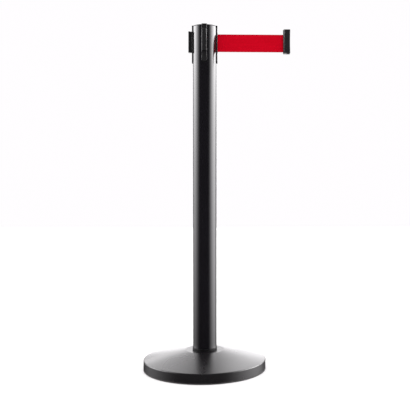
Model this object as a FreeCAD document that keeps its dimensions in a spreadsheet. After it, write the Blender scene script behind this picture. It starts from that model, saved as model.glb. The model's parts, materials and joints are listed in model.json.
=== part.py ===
import FreeCAD, Part
import math
import os
import re

import Sketcher
from FreeCAD import Placement, Rotation, Vector

# Retractable belt stanchion. Millimetres, +Z up, the post's axis on Z, the floor at z = 0,
# and the belt running out along +X.
SIZES = {
    # how far a cut runs past the face it opens
    "overcut": 1.0,
    "far_overcut": 5.0,
    # base
    "base_radius": 162.5,
    "cover_wall": 1.5,
    "skirt_foot": 3.0,
    "skirt_top": 26.5,
    "rim_round": 2.2,
    "seat_height": 50.0,
    "seat_radius": 51.5,
    "dome_radius": 760.0,
    "bolt_radius": 6.0,
    "bolt_clearance": 0.5,
    "ring_inner_radius": 146.0,
    "lip_play": 0.2,
    "ring_lip": 1.8,
    "ring_lip_height": 5.0,
    "weight_radius": 158.6,
    "weight_top": 17.0,
    "weight_boss_radius": 40.0,
    "boss_top_radius": 34.0,
    "counterbore_radius": 17.0,
    "counterbore_top": 18.0,
    "washer_radius": 15.0,
    "washer_thick": 2.5,
    "washer_play": 0.3,
    "lock_washer_step": 4.0,
    "split_half": 0.7,
    "bolt_head_width": 19.0,
    "bolt_head_thick": 7.5,
    "bolt_reach": 74.0,
    # post
    "post_radius": 31.5,
    "post_wall": 1.2,
    "post_top": 909.9,
    "plug_thick": 30.0,
    "collar_thick": 1.1,
    "collar_tall": 6.3,
    "collar_round": 0.77,
    # rails and cassette
    "rail_half": 6.7,
    "rail_reach": 33.9,
    "rail_round": 0.8,
    "rail_foot": 812.8,
    "slot_play": 0.3,
    "housing_radius": 30.1,
    "housing_foot": 808.0,
    "housing_floor": 3.0,
    "chamber_radius": 26.6,
    "lid_radius": 28.0,
    "lid_play": 0.1,
    "lid_height": 897.0,
    "lid_thick": 3.0,
    # top cap
    "cap_rim": 1.8,
    "cap_dome": 2.8,
    "lug_inner": 27.0,
    "lug_thick": 3.2,
    "lug_round": 0.9,
    "cap_skirt_radius": 27.8,
    "cap_skirt_wall": 1.8,
    "cap_screw_place": 30.6,
    # receivers
    "tee_foot": 841.5,
    "tee_tall": 56.3,
    "tee_half": 6.0,
    "tee_stem_half": 3.0,
    "tee_head": 4.0,
    "tee_reach": 9.5,
    "tee_round": 0.8,
    "tee_screw_low": 854.0,
    "tee_screw_high": 882.0,
    # belt
    "belt_foot": 844.4,
    "belt_width": 47.0,
    "belt_thick": 0.5,
    "coil_radius": 20.3,
    "coil_play": 0.35,
    "roller_play": 0.1,
    # outlet guide
    "guide_half": 4.0,
    "guide_foot": 840.9,
    "guide_tall": 54.0,
    "guide_inner": 27.2,
    "guide_proud": 0.4,
    "guide_slot_half": 1.5,
    "guide_slot_play": 0.8,
    "guide_round": 0.9,
    # spool, axle, rollers
    "axle_radius": 3.0,
    "hub_radius": 10.0,
    "hub_bore": 4.6,
    "flange_radius": 21.3,
    "flange_thick": 1.6,
    "flange_play": 0.8,
    "bush_length": 8.0,
    "running_play": 0.05,
    "roller_radius": 2.0,
    "roller_pin_radius": 0.8,
    "roller_place": 23.6,
    "roller_foot": 843.0,
    "roller_tall": 50.0,
    "pin_foot": 837.0,
    "pin_top": 899.0,
    # spring
    "cup_radius": 26.4,
    "cup_wall": 1.6,
    "cup_foot": 812.0,
    "cup_floor": 1.5,
    "cup_top": 836.0,
    "cup_cover": 3.0,
    "arbor_radius": 5.5,
    "arbor_bore": 3.4,
    "arbor_play": 0.7,
    "spring_thick": 0.5,
    "spring_gap": 0.8,
    "spring_inner": 6.2,
    "spring_turns": 13.5,
    "spring_tall": 18.0,
    "spring_clear": 1.5,
    "thrust_inner": 6.2,
    "thrust_outer": 9.5,
    "thrust_play": 0.2,
    "arbor_gap": 1.0,
    "axle_short": 1.0,
    "spacer_bore_play": 1.0,
    "spacer_inset": 4.0,
    # clip
    "clip_start": 209.6,
    "clip_deep": 18.7,
    "clip_half": 10.8,
    "clip_foot": 840.8,
    "clip_tall": 63.3,
    "clip_round": 2.2,
    "clip_edge": 1.2,
    "clip_flank": 4.0,
    "clip_hollow": 520.0,
    "clip_roof": 5.9,
    "clip_lip": 4.6,
    "clip_play": 0.4,
    "clip_bore": 3.2,
    "clip_bore_place": 4.6,
    "clip_slot_half": 0.8,
    "clip_pin_radius": 2.1,
    "clip_plug_thick": 2.2,
    "clip_slot_play": 0.6,
    "pin_bore_reach": 1.5,
    "pin_reach": 1.0,
    "plug_play": 0.05,
    "plug_inset": 0.2,
    # screws
    "screw_radius": 1.25,
    "screw_head": 2.3,
    "screw_head_thick": 1.3,
    "screw_length": 8.0,
    "socket_radius": 1.2,
    "socket_deep": 0.8,
    "screw_seat_play": 0.1,
    "long_screw_extra": 4.0,
}

doc = FreeCAD.newDocument("belt_stanchion")
sheet = doc.addObject("Spreadsheet::Sheet", "Size")
for row, (alias, value) in enumerate(SIZES.items(), start=1):
    sheet.set(f"A{row}", alias)
    sheet.set(f"B{row}", str(value))
    sheet.setAlias(f"B{row}", alias)
doc.recompute()

nodes = []
LENGTH_MATCH = 1e-3


def cells(text):
    """The expression with each size's name turned into a reference to its cell."""
    return re.sub(r"[a-z][a-z_]+", lambda word: "Size." + word[0] if word[0] in SIZES else word[0], text)


def number(text):
    """The value of an expression, or of a plain number written as text."""
    value = sheet.evalExpression(cells(text))
    return float(getattr(value, "Value", value))


def node(thing, label):
    """Names a finished sub-part and puts it on the list of what is exported."""
    thing.Label = label
    nodes.append(thing)
    return thing


def new_body(label):
    return node(doc.addObject("PartDesign::Body", label), label)


def new_sketch(body, role, height="0"):
    """A sketch on one of the body's own origin planes, raised along the plane's normal."""
    sketch = body.newObject("Sketcher::SketchObject", "Sketch")
    plane = next(item for item in body.Origin.OriginFeatures if item.Role == role)
    sketch.AttachmentSupport = [(plane, "")]
    sketch.MapMode = "FlatFace"
    if height != "0":
        sketch.setExpression(".AttachmentOffset.Base.z", cells(height))
    return sketch


def pin_point(sketch, item, end, x, y):
    """Ties one end of a line or arc to its x and y from the sketch's origin."""
    for kind, axis, text in (("DistanceX", -2, x), ("DistanceY", -1, y)):
        value = number(text)
        if abs(value) < 1e-9:
            sketch.addConstraint(Sketcher.Constraint("PointOnObject", item, end, axis))
        else:
            place = sketch.addConstraint(Sketcher.Constraint(kind, -1, 1, item, end, value))
            sketch.setExpression(f"Constraints[{place}]", cells(text))


def arc_between(start, end, radius):
    """The arc of under half a turn that bulges to the right of the way from start to end."""
    a, b = Vector(*start, 0), Vector(*end, 0)
    half = (b - a) * 0.5
    left = Vector(-half.y, half.x, 0).normalize()
    centre = a + half + left * math.sqrt(radius**2 - half.Length**2)
    turn = [math.atan2(p.y - centre.y, p.x - centre.x) for p in (a, b)]
    return Part.ArcOfCircle(Part.Circle(centre, Vector(0, 0, 1), radius), turn[0], turn[1])


def outline(sketch, corners):
    """A closed outline, counter-clockwise. A corner is (x, y), or (x, y, radius) where an arc starts."""
    first = sketch.GeometryCount
    points = [(number(corner[0]), number(corner[1])) for corner in corners]
    count = len(corners)
    for i, corner in enumerate(corners):
        start, end = points[i], points[(i + 1) % count]
        if len(corner) == 3:
            sketch.addGeometry(arc_between(start, end, number(corner[2])), False)
        else:
            sketch.addGeometry(Part.LineSegment(Vector(*start, 0), Vector(*end, 0)), False)
    for i in range(count):
        sketch.addConstraint(Sketcher.Constraint("Coincident", first + i, 2, first + (i + 1) % count, 1))
    for i, corner in enumerate(corners):
        pin_point(sketch, first + i, 1, corner[0], corner[1])
        if len(corner) == 3:
            place = sketch.addConstraint(Sketcher.Constraint("Radius", first + i, number(corner[2])))
            sketch.setExpression(f"Constraints[{place}]", cells(corner[2]))


def rectangle(sketch, left, right, low, high):
    outline(sketch, [(left, low), (right, low), (right, high), (left, high)])


def circle(sketch, x, y, radius):
    item = sketch.addGeometry(Part.Circle(Vector(number(x), number(y), 0), Vector(0, 0, 1), number(radius)))
    pin_point(sketch, item, 3, x, y)
    place = sketch.addConstraint(Sketcher.Constraint("Radius", item, number(radius)))
    sketch.setExpression(f"Constraints[{place}]", cells(radius))


def turned(body, corners, kind="Revolution"):
    """Adds (Revolution) or cuts (Groove) what an outline in the XZ plane sweeps round Z."""
    sketch = new_sketch(body, "XZ_Plane")
    outline(sketch, corners)
    feature = body.newObject("PartDesign::" + kind, kind)
    feature.Profile = sketch
    feature.ReferenceAxis = (sketch, ["V_Axis"])
    feature.Angle = 360
    doc.recompute()
    return feature


def extruded(body, kind, role, draw, length=None, height="0", reverse=False, middle=False):
    """A Pad or Pocket from a drawn sketch. With no length it runs through everything."""
    sketch = new_sketch(body, role, height)
    draw(sketch)
    feature = body.newObject("PartDesign::" + kind, kind)
    feature.Profile = sketch
    feature.Reversed = reverse
    feature.Midplane = middle
    if length is None:
        feature.Type = "ThroughAll"
    else:
        feature.setExpression("Length", cells(length))
    doc.recompute()
    return feature


def polar(body, feature, count):
    """Repeats a feature round the body's Z axis."""
    pattern = body.newObject("PartDesign::PolarPattern", "PolarPattern")
    pattern.Originals = [feature]
    axis = next(item for item in body.Origin.OriginFeatures if item.Role == "Z_Axis")
    pattern.Axis = (axis, [""])
    pattern.Angle = 360
    pattern.Occurrences = count
    body.Tip = pattern
    doc.recompute()
    return pattern


def rounded(body, radius, chosen, kind="Fillet"):
    """Rounds or chamfers the edges of the body's tip that the test chooses."""
    base = body.Tip
    names = [f"Edge{i}" for i, edge in enumerate(base.Shape.Edges, start=1) if chosen(edge)]
    feature = body.newObject("PartDesign::" + kind, kind)
    feature.Base = (base, names)
    feature.setExpression("Radius" if kind == "Fillet" else "Size", cells(radius))
    doc.recompute()
    return feature


def ring(label, inner, outer, low, high):
    """A turned ring or disc with a rectangular section."""
    body = new_body(label)
    turned(body, [(inner, low), (outer, low), (outer, high), (inner, high)])
    return body


def at_height(edge, height, radius=None):
    """Whether an edge lies level at a height, and is a circle of that radius if one is given."""
    box = edge.BoundBox
    level = abs(box.ZMin - height) < LENGTH_MATCH and abs(box.ZMax - height) < LENGTH_MATCH
    if not level or radius is None:
        return level
    return hasattr(edge.Curve, "Radius") and abs(edge.Curve.Radius - radius) < LENGTH_MATCH


def primitive(kind, sizes, place=Placement()):
    """A Part primitive with its sizes bound to the sheet."""
    thing = doc.addObject("Part::" + kind, kind)
    for name, text in sizes.items():
        thing.setExpression(name, cells(text))
    thing.Placement = place
    return thing


def joined(kind, things):
    """A boolean or a compound of several objects."""
    result = doc.addObject("Part::" + kind, kind)
    setattr(result, "Links" if kind == "Compound" else "Shapes", things)
    return result


def cut(base, tool):
    result = doc.addObject("Part::Cut", "Cut")
    result.Base = base
    result.Tool = tool
    return result


def screw(place, length):
    """A hex-socket screw along its own -Z, with its head's top at the placement."""
    head_foot = Placement(Vector(0, 0, -number("screw_head_thick")), Rotation())
    shank_foot = Placement(Vector(0, 0, -number(length)), Rotation())
    socket_foot = Placement(Vector(0, 0, -number("socket_deep")), Rotation())
    head = primitive("Cylinder", {"Radius": "screw_head", "Height": "screw_head_thick"}, place * head_foot)
    shank = primitive("Cylinder", {"Radius": "screw_radius", "Height": length}, place * shank_foot)
    hollow = {"Circumradius": "socket_radius", "Height": "socket_deep"}
    socket = primitive("Prism", hollow, place * socket_foot)
    socket.Polygon = 6
    return cut(joined("MultiFuse", [head, shank]), socket)


def turned_to(angle, x, z, tilt=0):
    """A placement at radius x and height z, tipped about Y, then swung round the post by an angle."""
    swing = Placement(Vector(), Rotation(Vector(0, 0, 1), angle))
    return swing * Placement(Vector(x, 0, z), Rotation(Vector(0, 1, 0), tilt))


RECEIVERS = {"front_receiver": 270, "left_receiver": 180, "rear_receiver": 90}


# ---------------------------------------------------------------- base
def base_cover():
    """Spun shell: straight skirt, rounded rim, shallow dome and a flat seat for the post."""
    body = new_body("base_cover")
    inner = "base_radius - cover_wall"
    turned(
        body,
        [
            ("bolt_radius + bolt_clearance", "seat_height - cover_wall"),
            ("seat_radius", "seat_height - cover_wall"),
            (inner, "skirt_top - cover_wall"),
            (inner, "skirt_foot"),
            ("base_radius", "skirt_foot"),
            ("base_radius", "skirt_top", "dome_radius"),
            ("seat_radius", "seat_height"),
            ("bolt_radius + bolt_clearance", "seat_height"),
        ],
    )
    rounded(body, "rim_round", lambda e: at_height(e, number("skirt_top"), number("base_radius")))


def base_weight():
    """Cast disc with a boss that carries the cover's seat, counterbored for the bolt."""
    body = new_body("base_weight")
    turned(
        body,
        [
            ("counterbore_radius", "skirt_foot"),
            ("weight_radius", "skirt_foot"),
            ("weight_radius", "weight_top"),
            ("weight_boss_radius", "weight_top"),
            ("boss_top_radius", "seat_height - cover_wall"),
            ("bolt_radius + bolt_clearance", "seat_height - cover_wall"),
            ("bolt_radius + bolt_clearance", "counterbore_top"),
            ("counterbore_radius", "counterbore_top"),
        ],
    )


def floor_ring():
    """Rubber ring under the skirt, with a lip between the weight and the skirt."""
    body = new_body("floor_ring")
    lip_outer = "base_radius - cover_wall - lip_play"
    lip_inner = "base_radius - cover_wall - lip_play - ring_lip"
    turned(
        body,
        [
            ("ring_inner_radius", "0"),
            ("base_radius", "0"),
            ("base_radius", "skirt_foot"),
            (lip_outer, "skirt_foot"),
            (lip_outer, "skirt_foot + ring_lip_height"),
            (lip_inner, "skirt_foot + ring_lip_height"),
            (lip_inner, "skirt_foot"),
            ("ring_inner_radius", "skirt_foot"),
        ],
    )


def base_fasteners():
    """The bolt that draws the post down on the weight, with its plain and lock washers."""
    washer_foot = "counterbore_top - washer_thick"
    lock_foot = "counterbore_top - 2 * washer_thick"
    ring("base_washer", "bolt_radius + washer_play", "washer_radius", washer_foot, "counterbore_top")
    body = ring(
        "lock_washer",
        "bolt_radius + washer_play",
        "washer_radius - lock_washer_step",
        lock_foot,
        washer_foot,
    )
    extruded(
        body,
        "Pocket",
        "XY_Plane",
        lambda s: rectangle(
            s, "bolt_radius - overcut", "washer_radius + overcut", "-split_half", "split_half"
        ),
        height="counterbore_top",
    )
    bolt = ring("base_bolt", "0", "bolt_radius", lock_foot, "bolt_reach")
    half = "bolt_head_width / 2"
    point = "bolt_head_width / sqrt(3)"
    side = "bolt_head_width / sqrt(12)"
    corners = [
        (point, "0"),
        (side, half),
        ("-" + side, half),
        ("-" + point, "0"),
        ("-" + side, "-" + half),
        (side, "-" + half),
    ]
    extruded(
        bolt,
        "Pad",
        "XY_Plane",
        lambda s: outline(s, corners),
        "bolt_head_thick",
        lock_foot,
        reverse=True,
    )


# ---------------------------------------------------------------- post
def round_foot(sketch, half, foot, top):
    """A tall outline with straight sides, a flat top and a half circle for its foot."""
    centre = foot + " + " + half
    left = "-(" + half + ")"
    middle = Vector(0, number(centre), 0)
    bend = Part.Circle(middle, Vector(0, 0, 1), number(half))
    sketch.addGeometry(Part.ArcOfCircle(bend, math.pi, 2 * math.pi), False)
    corners = [(half, centre), (half, top), (left, top), (left, centre)]
    points = [Vector(number(x), number(y), 0) for x, y in corners]
    for start, end in zip(points, points[1:]):
        sketch.addGeometry(Part.LineSegment(start, end), False)
    for item in range(4):
        sketch.addConstraint(Sketcher.Constraint("Coincident", item, 2, (item + 1) % 4, 1))
    pin_point(sketch, 0, 3, "0", centre)
    sketch.addConstraint(Sketcher.Constraint("Horizontal", 0, 3, 0, 1))
    for item, (x, y) in enumerate(corners[:3], start=1):
        pin_point(sketch, item, 1, x, y)


def post_tube():
    """Tube with four slots, round at the foot and open at the top."""
    body = ring("post_tube", "post_radius - post_wall", "post_radius", "seat_height", "post_top")
    slot = ("rail_half + slot_play", "rail_foot - slot_play", "post_top + far_overcut")
    for role in ("XZ_Plane", "YZ_Plane"):
        extruded(body, "Pocket", role, lambda s: round_foot(s, *slot), middle=True)


def post_foot():
    """The threaded plug welded in the tube's foot and the collar round it."""
    body = new_body("foot_plug")
    bore_top = "bolt_reach + overcut"
    plug_top = "seat_height + plug_thick"
    inner = "post_radius - post_wall"
    turned(
        body,
        [
            ("bolt_radius", "seat_height"),
            (inner, "seat_height"),
            (inner, plug_top),
            ("0", plug_top),
            ("0", bore_top),
            ("bolt_radius", bore_top),
        ],
    )
    outer, top = "post_radius + collar_thick", "seat_height + collar_tall"
    collar = ring("post_collar", "post_radius", outer, "seat_height", top)
    rounded(collar, "collar_round", lambda e: at_height(e, number(top), number(outer)))


# ---------------------------------------------------------------- cassette
def cassette_housing():
    """Turned shell with four rails that stand in the tube's slots, and a window for the belt."""
    body = new_body("cassette_housing")
    turned(
        body,
        [
            ("0", "housing_foot"),
            ("housing_radius", "housing_foot"),
            ("housing_radius", "post_top"),
            ("0", "post_top"),
        ],
    )
    rail = ("rail_half", "rail_foot", "post_top")
    for role in ("XZ_Plane", "YZ_Plane"):
        extruded(body, "Pad", role, lambda s: round_foot(s, *rail), "2 * rail_reach", middle=True)
    reach, top = number("rail_reach"), number("post_top")

    def rail_edge(edge):
        outward = [abs(max(abs(v.X), abs(v.Y)) - reach) < LENGTH_MATCH for v in edge.Vertexes]
        return all(outward) and not at_height(edge, top)

    rounded(body, "rail_round", rail_edge)
    floor_top = "housing_foot + housing_floor"
    turned(
        body,
        [
            ("0", "housing_foot - overcut"),
            ("axle_radius", "housing_foot - overcut"),
            ("axle_radius", floor_top),
            ("chamber_radius", floor_top),
            ("chamber_radius", "lid_height"),
            ("lid_radius", "lid_height"),
            ("lid_radius", "post_top + overcut"),
            ("0", "post_top + overcut"),
        ],
        "Groove",
    )
    extruded(
        body,
        "Pocket",
        "YZ_Plane",
        lambda s: rectangle(s, "-guide_half", "guide_half", "guide_foot", "guide_foot + guide_tall"),
        "rail_reach + far_overcut",
        reverse=True,
    )

    def screw_pair(sketch):
        for height in ("tee_screw_low", "tee_screw_high"):
            circle(sketch, "0", height, "screw_radius")

    extruded(body, "Pocket", "XZ_Plane", screw_pair, middle=True)
    extruded(body, "Pocket", "YZ_Plane", screw_pair, "rail_reach + far_overcut")
    hole = extruded(
        body,
        "Pocket",
        "XY_Plane",
        lambda s: circle(s, "cap_screw_place", "0", "screw_radius"),
        "screw_length",
        "post_top",
    )
    polar(body, hole, 4)


def lid():
    """Plate over the spool chamber that holds the upper ends of the axle and roller pins."""
    body = ring("cassette_lid", "axle_radius", "lid_radius - lid_play", "lid_height", "lid_height + lid_thick")
    extruded(
        body,
        "Pocket",
        "XY_Plane",
        lambda s: [circle(s, "roller_place", side + ROLLER_SIDE, "roller_pin_radius") for side in ("", "-")],
        "pin_top - lid_height",
        "lid_height",
        reverse=True,
    )


def top_cap():
    """Domed disc with four lugs over the rails and a skirt that holds the lid down."""
    body = new_body("top_cap")
    turned(
        body,
        [
            ("0", "post_top"),
            ("post_radius", "post_top"),
            ("post_radius", "post_top + cap_rim", "(post_radius^2 + cap_dome^2) / (2 * cap_dome)"),
            ("0", "post_top + cap_rim + cap_dome"),
        ],
    )
    lug = extruded(
        body,
        "Pad",
        "XY_Plane",
        lambda s: rectangle(s, "lug_inner", "rail_reach", "-rail_half", "rail_half"),
        "lug_thick",
        "post_top",
    )
    polar(body, lug, 4)
    reach, top = number("rail_reach"), number("post_top + lug_thick")

    def lug_end(edge):
        outward = [abs(max(abs(v.X), abs(v.Y)) - reach) < LENGTH_MATCH for v in edge.Vertexes]
        return all(outward) and at_height(edge, top)

    rounded(body, "lug_round", lug_end)

    def skirt_ring(sketch):
        circle(sketch, "0", "0", "cap_skirt_radius")
        circle(sketch, "0", "0", "cap_skirt_radius - cap_skirt_wall")

    skirt_depth = "post_top - lid_height - lid_thick"
    extruded(body, "Pad", "XY_Plane", skirt_ring, skirt_depth, "post_top", reverse=True)
    for radius, depth in (("screw_radius", "lug_thick"), ("screw_head", "screw_head_thick")):

        def screw_hole(sketch):
            circle(sketch, "cap_screw_place", "0", radius)

        polar(body, extruded(body, "Pocket", "XY_Plane", screw_hole, depth, "post_top + lug_thick"), 4)


def receivers():
    """Three T-shaped bars that take the belt clips of other stanchions."""
    foot = "rail_reach"
    head = "rail_reach + tee_reach - tee_head"
    reach = "rail_reach + tee_reach"
    corners = [
        (foot, "-tee_stem_half"),
        (head, "-tee_stem_half"),
        (head, "-tee_half"),
        (reach, "-tee_half"),
        (reach, "tee_half"),
        (head, "tee_half"),
        (head, "tee_stem_half"),
        (foot, "tee_stem_half"),
    ]
    for label, angle in RECEIVERS.items():
        body = new_body(label)
        extruded(body, "Pad", "XY_Plane", lambda s: outline(s, corners), "tee_tall", "tee_foot")
        outer = number(reach)
        rounded(body, "tee_round", lambda e: min(v.X for v in e.Vertexes) > outer - LENGTH_MATCH)

        def screw_pair(sketch):
            for height in ("tee_screw_low", "tee_screw_high"):
                circle(sketch, "0", height, "screw_radius")

        extruded(body, "Pocket", "YZ_Plane", screw_pair, "rail_reach + far_overcut", reverse=True)
        body.Placement = Placement(Vector(), Rotation(Vector(0, 0, 1), angle))


def outlet_guide():
    """Block in the right rail's window, with the slot that the belt runs through."""
    body = new_body("outlet_guide")
    extruded(
        body,
        "Pad",
        "YZ_Plane",
        lambda s: rectangle(s, "-guide_half", "guide_half", "guide_foot", "guide_foot + guide_tall"),
        "rail_reach + guide_proud - guide_inner",
        "guide_inner",
    )
    extruded(
        body,
        "Pocket",
        "YZ_Plane",
        lambda s: rectangle(
            s,
            "-guide_slot_half",
            "guide_slot_half",
            "belt_foot - guide_slot_play",
            "belt_foot + belt_width + guide_slot_play",
        ),
        "rail_reach + far_overcut",
        reverse=True,
    )
    outer = number("rail_reach + guide_proud")
    slot = number("guide_slot_half")

    def mouth(edge):
        box = edge.BoundBox
        return box.XMin > outer - LENGTH_MATCH and max(abs(box.YMin), abs(box.YMax)) < slot + LENGTH_MATCH

    rounded(body, "guide_round", mouth)


# ---------------------------------------------------------------- spool, rollers and spring
COIL_PATH = "(coil_radius + coil_play + belt_thick / 2)"
ROLLER_PATH = "(roller_radius + roller_play + belt_thick / 2)"
ROLLER_SIDE = ROLLER_PATH


def spool():
    """Drum with two flanges, on bushes, with the arbor that the spring turns."""
    low = "belt_foot - flange_play"
    high = "belt_foot + belt_width + flange_play"
    body = new_body("spool")
    turned(
        body,
        [
            ("hub_bore", low + " - flange_thick"),
            ("flange_radius", low + " - flange_thick"),
            ("flange_radius", low),
            ("hub_radius", low),
            ("hub_radius", high),
            ("flange_radius", high),
            ("flange_radius", high + " + flange_thick"),
            ("hub_bore", high + " + flange_thick"),
        ],
    )
    ring("belt_coil", "hub_radius", "coil_radius", "belt_foot", "belt_foot + belt_width")
    bore = "axle_radius + running_play"
    foot, top = low + " - flange_thick", high + " + flange_thick"
    ring("lower_bush", bore, "hub_bore", foot, foot + " + bush_length")
    ring("upper_bush", bore, "hub_bore", top + " - bush_length", top)
    arbor_foot = "cup_foot + cup_floor + arbor_gap"
    arbor = ring("spring_arbor", "arbor_bore", "arbor_radius", arbor_foot, foot)
    extruded(
        arbor,
        "Pocket",
        "XY_Plane",
        lambda s: rectangle(
            s, "arbor_bore - overcut", "arbor_radius + overcut", "-spring_thick", "spring_thick"
        ),
        "spring_tall + overcut",
        arbor_foot,
        reverse=True,
    )


def axle_and_seats():
    """The fixed axle, the ring the spool rides on, and the spring's cup and cover."""
    foot = "belt_foot - flange_play - flange_thick"
    ring("spool_axle", "0", "axle_radius", "housing_foot", "lid_height + lid_thick - axle_short")
    ring("thrust_washer", "thrust_inner", "thrust_outer", "cup_top + cup_cover", foot + " - thrust_play")
    cup = new_body("spring_cup")
    turned(
        cup,
        [
            ("axle_radius", "cup_foot"),
            ("cup_radius", "cup_foot"),
            ("cup_radius", "cup_top"),
            ("cup_radius - cup_wall", "cup_top"),
            ("cup_radius - cup_wall", "cup_foot + cup_floor"),
            ("axle_radius", "cup_foot + cup_floor"),
        ],
    )
    cover = ring("spring_cover", "arbor_radius + arbor_play", "cup_radius", "cup_top", "cup_top + cup_cover")
    extruded(
        cover,
        "Pocket",
        "XY_Plane",
        lambda s: [circle(s, "roller_place", side + ROLLER_SIDE, "roller_pin_radius") for side in ("", "-")],
        "cup_top + cup_cover - pin_foot",
        "cup_top + cup_cover",
    )
    floor_top = "housing_foot + housing_floor"
    spacer_bore, spacer_outer = "axle_radius + spacer_bore_play", "chamber_radius - spacer_inset"
    ring("housing_spacer", spacer_bore, spacer_outer, floor_top, "cup_foot")


def rollers():
    """Two guide rollers, one on each side of the belt, each on its own pin."""
    for name, sign in (("rear", 1), ("front", -1)):
        roller = ring(
            f"{name}_roller",
            "roller_pin_radius + running_play",
            "roller_radius",
            "roller_foot",
            "roller_foot + roller_tall",
        )
        pin = ring(f"{name}_roller_pin", "0", "roller_pin_radius", "pin_foot", "pin_top")
        for body in (roller, pin):
            body.setExpression(".Placement.Base.x", cells("roller_place"))
            body.setExpression(".Placement.Base.y", cells(f"{sign} * {ROLLER_SIDE}"))


def power_spring():
    """Flat strip wound between the arbor and the cup, each half turn an arc of its own."""
    pitch, thick = number("spring_thick + spring_gap"), number("spring_thick")
    height = Vector(0, 0, number("cup_foot + cup_floor + spring_clear"))

    def half_turns(start):
        """The arcs of one face of the strip, and its two end points."""
        arcs, radius, tip = [], start, Vector(start, 0, 0) + height
        first = tip
        for i in range(int(2 * number("spring_turns"))):
            side = 1 if i % 2 == 0 else -1
            centre = tip - Vector(side * radius, 0, 0)
            end = centre - Vector(side * radius, 0, 0)
            arcs.append(Part.Arc(tip, centre + Vector(0, side * radius, 0), end).toShape())
            tip, radius = end, radius + pitch / 2
        return arcs, first, tip

    near, near_start, near_end = half_turns(number("spring_inner"))
    far, far_start, far_end = half_turns(number("spring_inner") + thick)
    ends = [Part.makeLine(near_start, far_start), Part.makeLine(near_end, far_end)]
    face = Part.Face(Part.Wire(Part.__sortEdges__(near + far + ends)))
    strip = doc.addObject("Part::Feature", "power_spring")
    strip.Shape = face.extrude(Vector(0, 0, number("spring_tall")))
    strip.Placement = Placement()
    node(strip, "power_spring")


# ---------------------------------------------------------------- belt
def belt_run():
    """The belt from the coil, round the rear roller and straight out to the clip."""
    coil, roller = number(COIL_PATH), number(ROLLER_PATH)
    centre = Vector(number("roller_place"), number(ROLLER_SIDE), 0)
    lean = math.atan2(centre.y, centre.x) + math.acos((coil + roller) / centre.Length)
    outward = Vector(math.cos(lean), math.sin(lean), 0)
    half = outward * (number("belt_thick") / 2)
    leave, meet = outward * coil, centre - outward * roller
    end = number("clip_start + clip_bore_place - clip_pin_radius")
    low = Vector(centre.x, centre.y - roller, 0)
    middle_turn = (lean + math.pi + 1.5 * math.pi) / 2
    middle = Vector(math.cos(middle_turn), math.sin(middle_turn), 0)
    drop = Vector(0, number("belt_thick") / 2, 0)

    def path(side):
        """One face of the belt: its straight from the coil, its bend and its long run."""
        bend_middle = centre + middle * (roller - side * half.Length)
        a, b, c = leave + half * side, meet + half * side, low + drop * side
        far = Vector(end, 0, 0) + drop * side
        return [Part.makeLine(a, b), Part.Arc(b, bend_middle, c).toShape(), Part.makeLine(c, far)], a, far

    near, near_start, near_end = path(1)
    far, far_start, far_end = path(-1)
    ends = [Part.makeLine(near_start, far_start), Part.makeLine(near_end, far_end)]
    face = Part.Face(Part.Wire(Part.__sortEdges__(near + far + ends)))
    strap = doc.addObject("Part::Feature", "belt_run")
    strap.Shape = face.extrude(Vector(0, 0, number("belt_width")))
    strap.Placement = Placement(Vector(0, 0, number("belt_foot")), Rotation())
    node(strap, "belt_run")


# ---------------------------------------------------------------- clip
def clip():
    """Block on the belt's end: a channel that drops over a receiver, and a bore for the belt pin."""
    body = new_body("clip_body")
    start, end = "clip_start", "clip_start + clip_deep"
    top = "clip_foot + clip_tall"
    extruded(
        body,
        "Pad",
        "XY_Plane",
        lambda s: rectangle(s, start, end, "-clip_half", "clip_half"),
        "clip_tall",
        "clip_foot",
    )

    def upright(edge, x):
        tall = abs(edge.BoundBox.ZLength - number("clip_tall")) < LENGTH_MATCH
        return tall and abs(edge.BoundBox.XMin - number(x)) < LENGTH_MATCH

    rounded(body, "clip_flank", lambda e: upright(e, start), "Chamfer")
    rounded(body, "clip_round", lambda e: upright(e, end))
    rounded(body, "clip_edge", lambda e: at_height(e, number(top)) or at_height(e, number("clip_foot")))
    beyond = end + " + clip_deep"
    hollow = [(end, "clip_foot"), (beyond, "clip_foot"), (beyond, top), (end, top, "clip_hollow")]
    extruded(body, "Pocket", "XZ_Plane", lambda s: outline(s, hollow), middle=True)
    lip = "clip_start + clip_deep - clip_lip"
    cavity = "clip_start + clip_deep - clip_lip - tee_head - 2 * clip_play"
    mouth, wide = "tee_stem_half + clip_play", "tee_half + clip_play"
    corners = [
        (cavity, f"-({wide})"),
        (lip, f"-({wide})"),
        (lip, f"-({mouth})"),
        ("clip_start + clip_deep + overcut", f"-({mouth})"),
        ("clip_start + clip_deep + overcut", mouth),
        (lip, mouth),
        (lip, wide),
        (cavity, wide),
    ]
    depth = "clip_tall - clip_roof"
    extruded(body, "Pocket", "XY_Plane", lambda s: outline(s, corners), depth, "clip_foot", reverse=True)
    bore_centre = "clip_start + clip_bore_place"
    pin_depth = "belt_foot + belt_width + pin_bore_reach - clip_foot"
    extruded(
        body,
        "Pocket",
        "XY_Plane",
        lambda s: circle(s, bore_centre, "0", "clip_bore"),
        pin_depth,
        "clip_foot",
        reverse=True,
    )
    extruded(
        body,
        "Pocket",
        "YZ_Plane",
        lambda s: rectangle(
            s,
            "-clip_slot_half",
            "clip_slot_half",
            "belt_foot - clip_slot_play",
            "belt_foot + belt_width + clip_slot_play",
        ),
        "clip_bore_place",
        "clip_start + clip_bore_place",
    )
    plug_top, pin_top = "clip_foot + clip_plug_thick", "belt_foot + belt_width + pin_reach"
    pin = ring("belt_pin", "0", "clip_pin_radius", plug_top, pin_top)
    plug = ring("clip_plug", "0", "clip_bore - plug_play", "clip_foot + plug_inset", plug_top)
    for part in (pin, plug):
        part.setExpression(".Placement.Base.x", cells(bore_centre))


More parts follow.
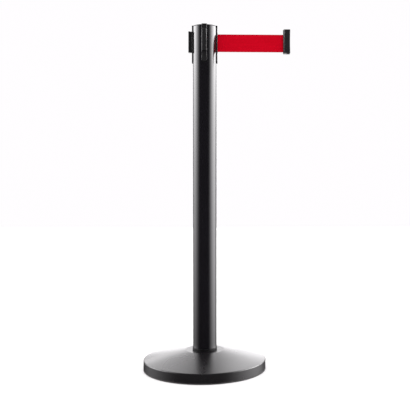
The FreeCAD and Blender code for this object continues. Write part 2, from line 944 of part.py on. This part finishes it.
# ---------------------------------------------------------------- screws
def screws():
    """The cap's four screws from above, and two for each receiver from inside the cassette."""
    top = number("post_top + lug_thick")
    cap = [screw(turned_to(90 * i, number("cap_screw_place"), top), "screw_length") for i in range(4)]
    node(joined("Compound", cap), "cap_screws")
    inside = number("chamber_radius - screw_seat_play")
    pairs = []
    for angle in RECEIVERS.values():
        for height in ("tee_screw_low", "tee_screw_high"):
            place = turned_to(angle, inside - number("screw_head_thick"), number(height), -90)
            pairs.append(screw(place, "screw_length + long_screw_extra"))
    node(joined("Compound", pairs), "receiver_screws")


base_cover()
base_weight()
floor_ring()
base_fasteners()
post_tube()
post_foot()
cassette_housing()
lid()
top_cap()
receivers()
outlet_guide()
spool()
axle_and_seats()
rollers()
power_spring()
belt_run()
clip()
screws()

doc.recompute()
for thing in doc.Objects:
    assert not {"Invalid", "Error"} & set(thing.State), f"{thing.Label}: {thing.State}"
for thing in nodes:
    assert not thing.Shape.isNull() and thing.Shape.isValid(), thing.Label
    assert thing.Shape.Solids, f"{thing.Label} has no solid"

os.makedirs("parts", exist_ok=True)
for thing in nodes:
    thing.Shape.exportStep(f"parts/{thing.Label}.step")
    print(f"{thing.Label}: {len(thing.Shape.Solids)} solids, {thing.Shape.Volume:.0f} mm3")
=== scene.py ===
import json
import math

import bmesh
import bpy
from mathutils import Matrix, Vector, noise


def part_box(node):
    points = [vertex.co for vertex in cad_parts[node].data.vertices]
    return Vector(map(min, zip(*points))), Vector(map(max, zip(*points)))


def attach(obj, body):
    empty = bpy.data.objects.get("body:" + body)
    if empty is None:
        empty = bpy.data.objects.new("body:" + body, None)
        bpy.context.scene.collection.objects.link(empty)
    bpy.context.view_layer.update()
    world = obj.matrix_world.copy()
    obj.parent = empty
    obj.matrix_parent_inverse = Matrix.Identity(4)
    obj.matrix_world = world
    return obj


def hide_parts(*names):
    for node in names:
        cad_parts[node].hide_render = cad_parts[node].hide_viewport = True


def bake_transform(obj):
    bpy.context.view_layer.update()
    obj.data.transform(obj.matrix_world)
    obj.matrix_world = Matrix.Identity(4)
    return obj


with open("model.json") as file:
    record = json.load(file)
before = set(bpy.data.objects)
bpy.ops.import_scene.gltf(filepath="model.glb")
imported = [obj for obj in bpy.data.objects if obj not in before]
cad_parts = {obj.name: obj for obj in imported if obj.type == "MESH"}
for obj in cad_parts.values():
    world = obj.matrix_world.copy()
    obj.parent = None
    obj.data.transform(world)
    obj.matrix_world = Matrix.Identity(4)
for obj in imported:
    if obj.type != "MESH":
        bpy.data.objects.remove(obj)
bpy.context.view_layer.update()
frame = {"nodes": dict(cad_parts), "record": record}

MM = 0.001

# The camera: lens in mm, shifts in frame widths, place in metres, tilt and turn in degrees.
LENS = 61.65
SHIFT_X, SHIFT_Y = -0.12, -0.04
CAMERA_PLACE = (0.0739, -1.8805, 0.4926)
CAMERA_TILT, CAMERA_TURN = 0.399, -1.774

# The belt: thickness, radius of the hub it winds on, clearance from the coil where it leaves, and the
# slight waviness of a strap under light tension.
BELT_THICK = 0.5 * MM
HUB_RADIUS = 10.05 * MM
COIL_GAP = 0.6 * MM
WAVE_HEIGHT = 0.35 * MM
WAVES_PER_METRE = 22
WAVE_ROW = (0.3, 0.7)

# The belt's selvedge: width of its bead, how much the bead swells and how blunt its edge is.
BEAD_WIDTH = 1.1 * MM
BEAD_SWELL = 0.3
EDGE_BLUNTNESS = 0.12

# How finely the belt is drawn: steps to the roller, round it, along the run, across, and per coil turn.
LEAD_STEPS = 8
ROLLER_STEPS = 12
RUN_STEPS = 150
SECTION_STEPS = 40
TURN_STEPS = 40

# The weave: width of a cord across the belt, length of a pick along it, and how far from the edge the
# colour begins to darken and where it is fully darker.
CORD_WIDTH, PICK_LENGTH = 1.15 * MM, 0.95 * MM
DARK_EDGE_INNER, DARK_EDGE_OUTER = 3.2 * MM, 0.8 * MM

# The two soft boxes: bearings in degrees from the camera's side where each begins, is full, begins to
# fall and ends, how steeply it brightens with height, and its strength.
LEFT_BOX, LEFT_STEEPNESS, LEFT_STRENGTH = (45, 104, 104, 154), 4.6, 5.5
RIGHT_BOX, RIGHT_STEEPNESS, RIGHT_STRENGTH = (35, 94, 102, 152), 2.9, 8.9

# How far the right box leans out of true above eye level (radians), the cap on both boxes' brightening
# with height, and the level that the light from behind has all the way across.
RIGHT_LEAN = 0.13
BRIGHTEST = 2.6
BACK_LEVEL = 0.82

# The studio floor: half its width, and how far it lies below the floor ring.
FLOOR_SIZE = 6.0
FLOOR_DROP = 0.2 * MM


def middle(node):
    low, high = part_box(node)
    return (Vector(low) + Vector(high)) / 2


def half_width(node):
    low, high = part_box(node)
    return (high[0] - low[0]) / 2


# ---------------------------------------------------------------- camera
def make_camera():
    """The camera at the photo's height and angle."""
    data = bpy.data.cameras.new("camera")
    data.lens = LENS
    data.shift_x = SHIFT_X
    data.shift_y = SHIFT_Y
    camera = bpy.data.objects.new("camera", data)
    camera.location = CAMERA_PLACE
    tilt, turn = math.radians(CAMERA_TILT), math.radians(CAMERA_TURN)
    camera.rotation_euler = (math.pi / 2 - tilt, 0, turn)
    bpy.context.scene.collection.objects.link(camera)
    bpy.context.scene.camera = camera


# ---------------------------------------------------------------- node graphs
class Graph:
    """A small helper that adds nodes to a tree and links whatever sockets it is given."""

    def __init__(self, tree):
        self.tree = tree

    def add(self, kind, inputs=None, **settings):
        node = self.tree.nodes.new("ShaderNode" + kind)
        for name, value in settings.items():
            setattr(node, name, value)
        for name, value in (inputs or {}).items():
            self.feed(node.inputs[name], value)
        return node

    def feed(self, socket, value):
        if isinstance(value, bpy.types.NodeSocket):
            self.tree.links.new(value, socket)
        else:
            socket.default_value = value

    def maths(self, operation, *values):
        node = self.add("Math", operation=operation)
        for socket, value in zip(node.inputs, values):
            self.feed(socket, value)
        return node.outputs[0]

    def times(self, first, *others):
        for other in others:
            first = self.maths("MULTIPLY", first, other)
        return first

    def plus(self, first, *others):
        for other in others:
            first = self.maths("ADD", first, other)
        return first

    def minus(self, first, second):
        return self.maths("SUBTRACT", first, second)

    def remap(self, value, low, high, to_low, to_high, smooth=False):
        kind = "SMOOTHSTEP" if smooth else "LINEAR"
        inputs = {"Value": value, "From Min": low, "From Max": high, "To Min": to_low, "To Max": to_high}
        return self.add("MapRange", inputs, interpolation_type=kind).outputs["Result"]

    def ramp(self, value, low, high, to_low=0.0, to_high=1.0):
        """A smooth step from one value to another."""
        return self.remap(value, low, high, to_low, to_high, smooth=True)

    def noise(self, where, scale, detail=3.0, roughness=0.5):
        inputs = {"Vector": where, "Scale": scale, "Detail": detail, "Roughness": roughness}
        return self.add("TexNoise", inputs).outputs["Fac"]

    def blend(self, factor, first, second):
        node = self.add("Mix", data_type="RGBA")
        for place, value in ((0, factor), (6, first), (7, second)):
            self.feed(node.inputs[place], value)
        return node.outputs[2]

    def stretched(self, where, scale):
        return self.add("Mapping", {"Vector": where, "Scale": scale}).outputs[0]


class Finish(Graph):
    """A material with one Principled shader, in object coordinates."""

    def __init__(self, name):
        self.material = bpy.data.materials.new(name)
        self.material.use_nodes = True
        super().__init__(self.material.node_tree)
        self.shader = self.tree.nodes["Principled BSDF"]
        self.where = self.add("TexCoord").outputs["Object"]

    def put(self, **inputs):
        for name, value in inputs.items():
            self.feed(self.shader.inputs[name.replace("_", " ")], value)

    def bump(self, height, depth, strength=1.0, under=None):
        inputs = {"Height": height, "Distance": depth, "Strength": strength}
        if under is not None:
            inputs["Normal"] = under
        return self.add("Bump", inputs).outputs[0]


# ---------------------------------------------------------------- materials
def black_coat():
    """Smooth black powder coat: faint orange peel, and gloss that varies a little by area."""
    f = Finish("black_coat")
    cloudy = f.noise(f.where, scale=14.0, detail=4.0)
    peel = f.noise(f.where, scale=420.0, detail=2.0)
    fine = f.noise(f.where, scale=2600.0, detail=1.0)
    dark, light = (0.0026, 0.0021, 0.0034, 1), (0.0042, 0.0034, 0.0052, 1)
    f.put(Base_Color=f.blend(cloudy, dark, light))
    f.put(Roughness=f.remap(cloudy, 0.3, 0.7, 0.16, 0.2))
    under = f.bump(peel, 0.012 * MM, 0.3)
    f.put(Normal=f.bump(fine, 0.004 * MM, 0.3, under), IOR=1.5)
    return f.material


def base_coat():
    """The same coat over spun steel: a trace of the spinning rings and light scuffs near the rim."""
    f = Finish("base_coat")
    cloudy = f.noise(f.where, scale=9.0, detail=5.0)
    peel = f.noise(f.where, scale=380.0, detail=2.0)
    spread = f.add("SeparateXYZ", {"Vector": f.where})
    x, y = spread.outputs[0], spread.outputs[1]
    radius = f.maths("SQRT", f.plus(f.times(x, x), f.times(y, y)))
    rings_per_metre = 260.0
    ring_inputs = {"W": f.times(radius, rings_per_metre), "Scale": 1.0, "Detail": 2.0}
    rings = f.add("TexNoise", ring_inputs, noise_dimensions="1D")
    scuffs = f.noise(f.stretched(f.where, (1.0, 1.0, 6.0)), 55.0, 8.0, 0.7)
    inner, rim = 0.1, 0.162
    worn = f.times(f.remap(scuffs, 0.62, 0.8, 0.0, 1.0), f.remap(radius, inner, rim, 0.0, 1.0))
    sound, scuffed = (0.0062, 0.0054, 0.0062, 1), (0.019, 0.018, 0.0195, 1)
    f.put(Base_Color=f.blend(worn, sound, scuffed))
    rough = f.remap(cloudy, 0.3, 0.7, 0.24, 0.31)
    f.put(Roughness=f.plus(rough, f.times(worn, 0.12)))
    under = f.bump(rings.outputs["Fac"], 0.04 * MM, 0.2)
    f.put(Normal=f.bump(peel, 0.03 * MM, 0.3, under), IOR=1.5)
    return f.material


def moulded(name, dark, light, roughness, gloss=0.5, grain=1500.0):
    """Moulded plastic with a spark-eroded grain and slight flow marks along its height."""
    f = Finish(name)
    flow = f.noise(f.stretched(f.where, (1.0, 1.0, 0.25)), 70.0, 4.0)
    speck = f.noise(f.where, grain, 2.0, 0.6)
    cells = f.add("TexVoronoi", {"Vector": f.where, "Scale": grain * 0.8}).outputs["Distance"]
    f.put(Base_Color=f.blend(flow, dark, light))
    f.put(Roughness=f.remap(speck, 0.3, 0.7, roughness - 0.05, roughness + 0.07))
    under = f.bump(cells, 0.004 * MM, 0.25)
    f.put(Normal=f.bump(speck, 0.004 * MM, 0.3, under))
    f.shader.inputs["Specular IOR Level"].default_value = gloss
    return f.material


def rubber():
    """Matt rubber with patches of dust."""
    f = Finish("floor_rubber")
    grit = f.noise(f.where, scale=900.0, detail=4.0, roughness=0.7)
    dust = f.noise(f.where, scale=40.0, detail=6.0, roughness=0.65)
    clean, dusty = (0.018, 0.017, 0.018, 1), (0.055, 0.053, 0.05, 1)
    f.put(Base_Color=f.blend(f.remap(dust, 0.4, 0.75, 0.0, 1.0), clean, dusty))
    f.put(Roughness=f.remap(grit, 0.3, 0.7, 0.6, 0.8), Normal=f.bump(grit, 0.08 * MM, 0.5))
    return f.material


def metal(name, dark, light, roughness, along=(1.0, 1.0, 1.0), grain=600.0, depth=0.02):
    """Bare or plated metal: tool marks stretched one way, and stains that change its gloss."""
    f = Finish(name)
    marks = f.noise(f.stretched(f.where, along), grain, 5.0, 0.6)
    stain = f.noise(f.where, scale=90.0, detail=4.0)
    f.put(Base_Color=f.blend(stain, dark, light), Metallic=1.0)
    f.put(Roughness=f.remap(marks, 0.3, 0.7, roughness - 0.06, roughness + 0.08))
    f.put(Normal=f.bump(marks, depth * MM, 0.4))
    return f.material


def webbing():
    """Plain-woven polyester: cords along the belt, picks across it, painted shade in the weave's low
    places, and a colour darker towards both edges.
    """
    f = Finish("red_webbing")
    low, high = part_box("belt_run")
    centre, half = (low[2] + high[2]) / 2, (high[2] - low[2]) / 2
    spread = f.add("SeparateXYZ", {"Vector": f.where})
    x, z = spread.outputs[0], spread.outputs[2]
    u, v = f.maths("DIVIDE", z, CORD_WIDTH), f.maths("DIVIDE", x, PICK_LENGTH)
    cell = f.plus(f.maths("FLOOR", u), f.maths("FLOOR", v))
    parity = f.maths("MODULO", f.maths("ABSOLUTE", cell), 2.0)
    arch_u = f.maths("SINE", f.times(f.maths("FRACT", u), math.pi))
    arch_v = f.maths("SINE", f.times(f.maths("FRACT", v), math.pi))
    flatness, under_depth = 0.35, 0.8
    over = f.times(arch_u, f.maths("POWER", arch_v, flatness))
    under = f.times(f.maths("POWER", arch_u, flatness), arch_v, under_depth)
    weave = f.add("Mix", {0: parity, 2: over, 3: under}).outputs[0]
    threads = f.noise(f.stretched(f.where, (0.12, 1.0, 1.0)), 3800.0, 2.0)
    from_middle = f.maths("ABSOLUTE", f.minus(z, centre))
    edge = f.ramp(from_middle, half - DARK_EDGE_INNER, half - DARK_EDGE_OUTER)
    streaks = f.noise(f.stretched(f.where, (0.06, 1.0, 1.0)), 260.0, 3.0)
    red, pale_red = (0.40, 0.0003, 0.0075, 1), (0.48, 0.0007, 0.011, 1)
    dark_edge_red, gap_shade_red = (0.32, 0.0022, 0.014, 1), (0.26, 0.0006, 0.006, 1)
    body = f.blend(f.remap(streaks, 0.3, 0.7, 0.0, 1.0), red, pale_red)
    # The colour is darker towards both edges of the belt.
    body = f.blend(f.times(edge, 0.8), body, dark_edge_red)
    # Painted shade: the low places of the weave, between the cords, are darkened.
    body = f.blend(f.remap(weave, 0.0, 0.55, 0.45, 0.0), body, gap_shade_red)
    f.put(Base_Color=body)
    f.put(Roughness=f.remap(threads, 0.3, 0.7, 0.58, 0.74))
    f.shader.inputs["Sheen Weight"].default_value = 0.03
    f.shader.inputs["Sheen Roughness"].default_value = 0.4
    f.shader.inputs["Sheen Tint"].default_value = (1.0, 0.1, 0.14, 1)
    f.shader.inputs["Specular IOR Level"].default_value = 0.02
    fibre = f.bump(threads, 0.03 * MM, 0.5)
    f.put(Normal=f.bump(weave, 0.22 * MM, 0.6, fibre))
    return f.material


def cast_iron():
    """An unmachined casting: coarse skin with small pits."""
    f = Finish("raw_casting")
    coarse = f.noise(f.where, scale=260.0, detail=6.0, roughness=0.65)
    pits = f.add("TexVoronoi", {"Vector": f.where, "Scale": 420.0}).outputs["Distance"]
    dark, light = (0.05, 0.046, 0.043, 1), (0.11, 0.102, 0.095, 1)
    f.put(Base_Color=f.blend(coarse, dark, light), Metallic=0.7)
    f.put(Roughness=f.remap(coarse, 0.3, 0.7, 0.55, 0.75))
    f.put(Normal=f.bump(coarse, 0.25 * MM, 0.6, f.bump(pits, 0.15 * MM, 0.4)))
    return f.material


def floor_finish():
    """A plain pale floor with a slight mottle."""
    f = Finish("pale_floor")
    soft = f.noise(f.where, scale=3.0, detail=4.0)
    f.put(Base_Color=f.blend(soft, (0.89, 0.89, 0.885, 1), (0.91, 0.91, 0.905, 1)))
    f.put(Roughness=f.remap(soft, 0.3, 0.7, 0.75, 0.85))
    f.put(Normal=f.bump(f.noise(f.where, 400.0), 0.05 * MM, 0.1))
    f.shader.inputs["Specular IOR Level"].default_value = 0.15
    return f.material


def paint_cad():
    """Gives every CAD node its material."""
    grey, pale = (0.0062, 0.0058, 0.0066, 1), (0.0092, 0.0086, 0.0098, 1)
    clip_dark, clip_light = (0.0075, 0.0064, 0.0078, 1), (0.0108, 0.0095, 0.0114, 1)
    cap_dark, cap_light = (0.0058, 0.0052, 0.0062, 1), (0.0086, 0.008, 0.0092, 1)
    # The collar's colour is painted shade: far darker than the other black parts, it gives a dark line of
    # shade at the post's foot.
    collar_shade_dark, collar_shade_light = (0.0022, 0.002, 0.0024, 1), (0.0034, 0.0031, 0.0037, 1)
    nylon = moulded("black_nylon", grey, pale, 0.34)
    clip = moulded("clip_nylon", clip_dark, clip_light, 0.52, gloss=0.24)
    natural = moulded("natural_nylon", (0.66, 0.64, 0.58, 1), (0.74, 0.72, 0.66, 1), 0.4)
    zinc = metal("zinc_plate", (0.52, 0.52, 0.5, 1), (0.66, 0.65, 0.62, 1), 0.32)
    bronze = metal("sintered_bronze", (0.42, 0.27, 0.12, 1), (0.56, 0.38, 0.18, 1), 0.42, grain=1800.0)
    blued = metal("blued_strip", (0.12, 0.14, 0.2, 1), (0.2, 0.22, 0.28, 1), 0.28, (1.0, 1.0, 8.0))
    by_slot = {
        "powder_black": black_coat(),
        "cast_iron": cast_iron(),
        "rubber": rubber(),
        "zinc_steel": zinc,
        "black_nylon": nylon,
        "natural_nylon": natural,
        "bronze": bronze,
        "spring_steel": blued,
        "red_webbing": RED,
    }
    special = {
        "base_cover": base_coat(),
        "clip_body": clip,
        "clip_plug": clip,
        "top_cap": moulded("matt_cap_coat", cap_dark, cap_light, 0.58, gloss=0.12),
        # Painted shade: the collar is drawn near-black and matt as the dark line at the post's foot.
        "post_collar": moulded("collar_rubber_painted_shade", collar_shade_dark, collar_shade_light, 0.6, gloss=0.15),
    }
    for part in frame["record"]["subparts"]:
        finish = special.get(part["node"], by_slot[part["material_slot"]])
        for slot in frame["nodes"][part["node"]].material_slots:
            slot.material = finish


# ---------------------------------------------------------------- belt
def smooth_piece(name, mesh_data, material):
    """Puts a mesh in the scene with one material and smooth faces."""
    piece = bpy.data.objects.new(name, mesh_data)
    bpy.context.scene.collection.objects.link(piece)
    mesh_data.materials.append(material)
    for face in mesh_data.polygons:
        face.use_smooth = True
    return piece


def swept(name, path, section, material):
    """Sweeps a closed section (sideways, height) along a path of (place, sideways direction)."""
    form = bmesh.new()
    rings = []
    for place, side in path:
        rings.append([form.verts.new(place + side * across + Vector((0, 0, up))) for across, up in section])
    count = len(section)
    for one, two in zip(rings, rings[1:]):
        for i in range(count):
            j = (i + 1) % count
            form.faces.new((one[i], one[j], two[j], two[i]))
    form.faces.new(reversed(rings[0]))
    form.faces.new(rings[-1])
    bmesh.ops.recalc_face_normals(form, faces=form.faces)
    data = bpy.data.meshes.new(name)
    form.to_mesh(data)
    form.free()
    return smooth_piece(name, data, material)


def strap_section(half):
    """The belt's cross-section: flat, with each selvedge swelling into a narrow round bead."""
    share = [2 * i / SECTION_STEPS - 1 for i in range(SECTION_STEPS + 1)]
    heights = [half * math.sin(math.pi / 2 * part) for part in share]

    def swell(height):
        beads_in = (half - abs(height)) / BEAD_WIDTH
        if beads_in >= 2:
            return BELT_THICK / 2
        swollen = 1 + BEAD_SWELL * math.sin(math.pi * beads_in / 2)
        rounded = min(1.0, math.sqrt(max(beads_in, 0.0) * 2) + EDGE_BLUNTNESS)
        return BELT_THICK / 2 * swollen * rounded

    right = [(swell(height), height) for height in heights]
    left = [(-swell(height), height) for height in reversed(heights)]
    return right + left


def belt_strap():
    """The belt from the coil, round the rear roller, through the guide and on to the clip's pin."""
    low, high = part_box("belt_run")
    foot = low[2]
    half = (high[2] - low[2]) / 2
    roller = middle("rear_roller")
    wrap = roller.y
    coil = half_width("belt_coil") + COIL_GAP
    centre = Vector((roller.x, roller.y, 0))
    lean = math.atan2(centre.y, centre.x) + math.acos(min(1.0, (coil + wrap) / centre.length))
    outward = Vector((math.cos(lean), math.sin(lean), 0))
    leave, meet = outward * coil, centre - outward * wrap
    path = [(leave.lerp(meet, i / LEAD_STEPS), outward) for i in range(LEAD_STEPS)]
    first, last = lean + math.pi, 1.5 * math.pi
    for i in range(ROLLER_STEPS + 1):
        turn = first + (last - first) * i / ROLLER_STEPS
        inward = Vector((math.cos(turn), math.sin(turn), 0))
        path.append((centre + inward * wrap, -inward))
    start, end = centre.x, high[0]
    for i in range(1, RUN_STEPS + 1):
        x = start + (end - start) * i / RUN_STEPS
        free = math.sin(math.pi * i / RUN_STEPS)
        drift = noise.noise(Vector((x * WAVES_PER_METRE, *WAVE_ROW))) * WAVE_HEIGHT * free
        path.append((Vector((x, drift, 0)), Vector((0, 1, 0))))
    section = [(side, up + foot + half) for side, up in strap_section(half)]
    strap = swept("belt_strap", path, section, RED)
    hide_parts("belt_run")
    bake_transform(strap)


def belt_winding():
    """The stored belt: one strip wound turn on turn round the spool's hub."""
    low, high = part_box("belt_coil")
    outer = half_width("belt_coil")
    turns = (outer - BELT_THICK / 2 - HUB_RADIUS) / BELT_THICK
    steps = int(turns * TURN_STEPS)
    path = []
    for i in range(steps + 1):
        angle = 2 * math.pi * turns * i / steps
        outward = Vector((math.cos(angle), math.sin(angle), 0))
        path.append((outward * (HUB_RADIUS + BELT_THICK / 2 + BELT_THICK * turns * i / steps), outward))
    flange_gap, air_between = 0.1 * MM, 0.08 * BELT_THICK
    half = (high[2] - low[2]) / 2 - flange_gap
    level = (low[2] + high[2]) / 2
    edge = (BELT_THICK - air_between) / 2
    corners = [(edge, -half), (edge, 0), (edge, half), (-edge, half), (-edge, 0), (-edge, -half)]
    winding = swept("belt_winding", path, [(side, up + level) for side, up in corners], RED)
    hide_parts("belt_coil")
    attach(winding, "spool_body")


# ---------------------------------------------------------------- studio
def studio_floor():
    """A wide flat sheet just under the floor ring, left out of what the gloss mirrors."""
    form = bmesh.new()
    bmesh.ops.create_grid(form, x_segments=8, y_segments=8, size=FLOOR_SIZE)
    data = bpy.data.meshes.new("studio_floor")
    form.to_mesh(data)
    form.free()
    floor = smooth_piece("studio_floor", data, floor_finish())
    floor.location.z = -FLOOR_DROP
    floor.visible_glossy = False


class Sky(Graph):
    """The world's light by direction: x to the right, z up, and the bearing from the camera's side."""

    def __init__(self, tree):
        super().__init__(tree)
        spread = self.add("SeparateXYZ", {"Vector": self.add("TexCoord").outputs["Generated"]})
        self.x, y, self.z = spread.outputs[0], spread.outputs[1], spread.outputs[2]
        bearing = self.maths("ARCTAN2", self.x, self.times(y, -1.0))
        self.turned = self.maths("ABSOLUTE", bearing)
        self.is_right = self.maths("GREATER_THAN", bearing, 0.0)
        self.is_left = self.minus(1.0, self.is_right)

    def soft_box(self, across, bearings, steepness):
        """A tall box: brighter with height, fading to nothing near the floor and overhead."""
        begins, full, falls, ends = (math.radians(angle) for angle in bearings)
        band = self.times(self.ramp(across, begins, full), self.ramp(across, falls, ends, 1.0, 0.0))
        eye_level = 0.04
        glow = self.maths("EXPONENT", self.times(self.minus(self.z, eye_level), steepness))
        foot, top = self.ramp(self.z, -0.45, -0.1), self.ramp(self.z, 0.4, 0.79, 1.0, 0.0)
        return self.times(band, self.maths("MINIMUM", glow, BRIGHTEST), foot, top)

    def side_boxes(self):
        leaning = self.minus(self.turned, self.ramp(self.z, 0.05, 0.2, 0.0, RIGHT_LEAN))
        left = self.soft_box(self.turned, LEFT_BOX, LEFT_STEEPNESS)
        right = self.soft_box(leaning, RIGHT_BOX, RIGHT_STEEPNESS)
        return self.plus(
            self.times(left, self.is_left, LEFT_STRENGTH),
            self.times(right, self.is_right, RIGHT_STRENGTH),
        )

    def back_light(self):
        """Light from behind, for the base's dome: narrow low down, wider above, stronger at its sides."""
        narrow = self.ramp(self.turned, 2.84, 3.02)
        wide = self.times(self.ramp(self.turned, 2.5, 2.8), self.ramp(self.z, 0.12, 0.3))
        lifted = self.ramp(self.z, 0.22, 0.42)
        side_share = self.remap(lifted, 0.0, 1.0, 0.2, 1.0)
        to_left = self.times(self.remap(self.x, -0.27, -0.03, 1.7, 0.0), side_share)
        to_right = self.times(self.remap(self.x, 0.01, 0.16, 0.0, 2.5), side_share)
        sideways = self.plus(to_left, to_right, BACK_LEVEL)
        near_floor = self.remap(lifted, 0.0, 1.0, 3.3, 0.85)
        high_up = self.ramp(self.z, 0.35, 0.65, 0.0, 0.55)
        upward = self.times(self.plus(near_floor, high_up), self.ramp(self.z, 0.75, 0.98, 1.0, 0.5))
        return self.times(self.maths("MAXIMUM", narrow, wide), sideways, upward)

    def overhead(self):
        """Dim light from straight above."""
        return self.ramp(self.z, 0.6, 0.95, 0.07, 0.9)


def studio_light():
    """A white sweep that lights everything softly, with soft boxes that only the gloss mirrors."""
    scene = bpy.context.scene
    scene.view_settings.view_transform = "Standard"
    world = bpy.data.worlds.new("studio")
    world.use_nodes = True
    scene.world = world
    world.node_tree.nodes.clear()
    sky = Sky(world.node_tree)
    mirrored = sky.plus(sky.side_boxes(), sky.back_light(), sky.overhead())
    soft = sky.ramp(sky.z, -0.3, 0.9, 1.2, 1.7)
    path = sky.add("LightPath")
    sweep = sky.add("Mix", {0: path.outputs["Is Glossy Ray"], 2: soft, 3: mirrored}).outputs[0]
    seen = sky.add("Mix", {0: path.outputs["Is Camera Ray"], 2: sweep, 3: 1.0}).outputs[0]
    shader = sky.add("Background", {"Strength": seen, "Color": (1.0, 0.985, 1.0, 1)})
    output = sky.add("OutputWorld")
    world.node_tree.links.new(shader.outputs[0], output.inputs["Surface"])


make_camera()
RED = webbing()
paint_cad()
belt_strap()
belt_winding()
studio_floor()
studio_light()
